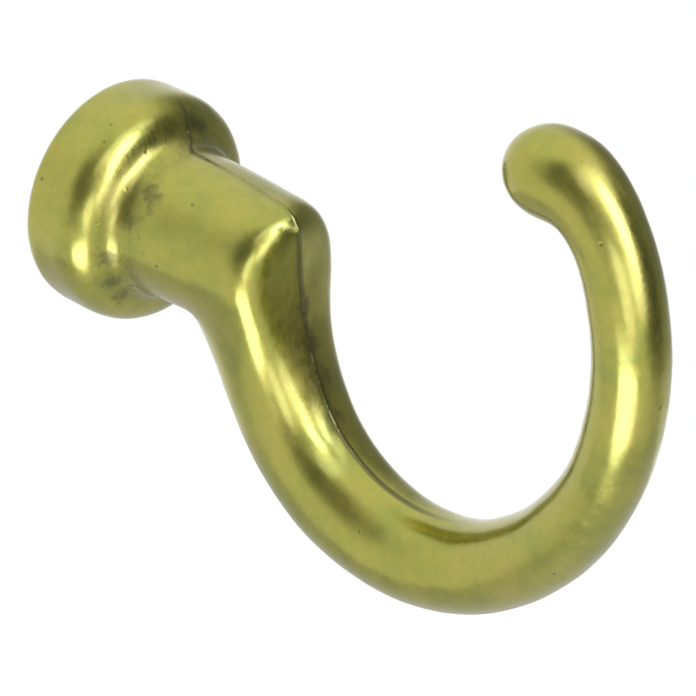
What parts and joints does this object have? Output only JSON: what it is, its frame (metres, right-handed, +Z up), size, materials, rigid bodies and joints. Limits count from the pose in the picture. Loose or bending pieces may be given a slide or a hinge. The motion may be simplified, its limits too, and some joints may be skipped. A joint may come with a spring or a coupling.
{
  "type": "curtain holdback hook",
  "caption": "Wall-fixed brass hook that holds a drawn curtain back: round boss, short barrel with a flat end, and a round U-shaped hook with a domed tip.",
  "frame": {"origin": "centre of the boss's flat back face, where the boss meets the wall", "axes": "+Y points into the wall, out of the hanger screw hole; the hook stands out along -Y; +Z is up; X is across the hook, which is symmetric about x = 0"},
  "size_m": [0.02, 0.0602, 0.0478],
  "materials": {
    "brass": "satin, lightly polished casting"
  },
  "bodies": {
    "root": {"hook": "brass"}
  },
  "joints": []
}
